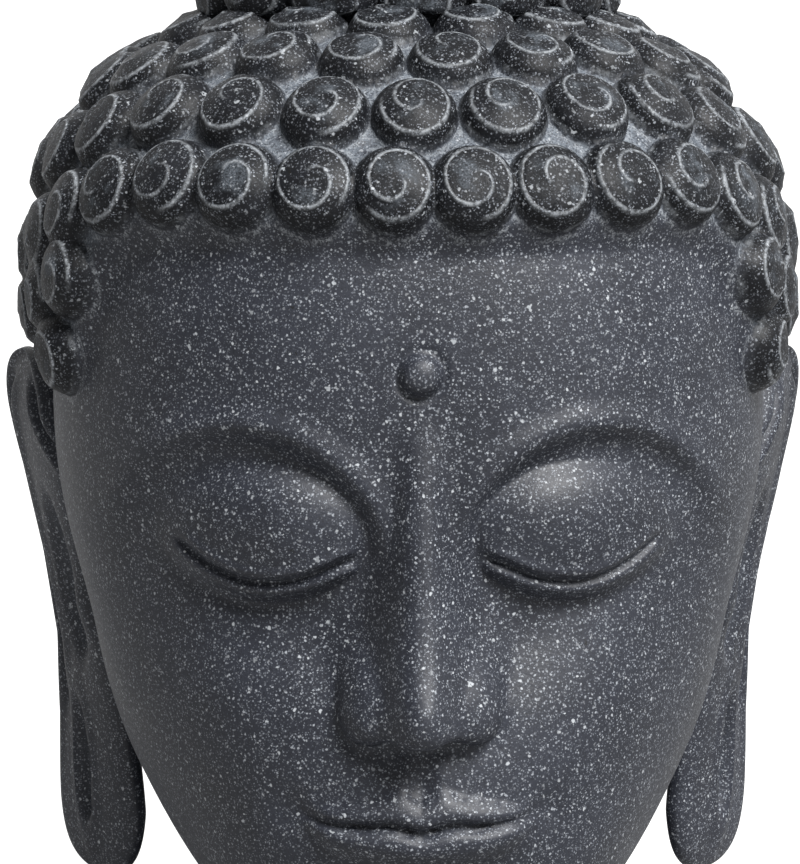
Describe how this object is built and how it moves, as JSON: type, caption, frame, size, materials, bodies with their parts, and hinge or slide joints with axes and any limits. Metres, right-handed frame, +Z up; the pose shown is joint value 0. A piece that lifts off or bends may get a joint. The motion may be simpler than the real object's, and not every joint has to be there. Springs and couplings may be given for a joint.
{
  "type": "buddha head sculpture",
  "caption": "Head of a meditating buddha cast in one piece, with snail curls, a topknot, an urna and long ears, on a neck cut flat to stand on",
  "frame": {"origin": "centre of the flat underside of the neck", "axes": "+Z is up, the face looks along -Y and +X is the head's own left"},
  "size_m": [0.189, 0.2099, 0.2999],
  "materials": {
    "resin": "satin-matte slate resin with fine white specks"
  },
  "bodies": {
    "root": {"buddha_head": "resin"}
  },
  "joints": []
}
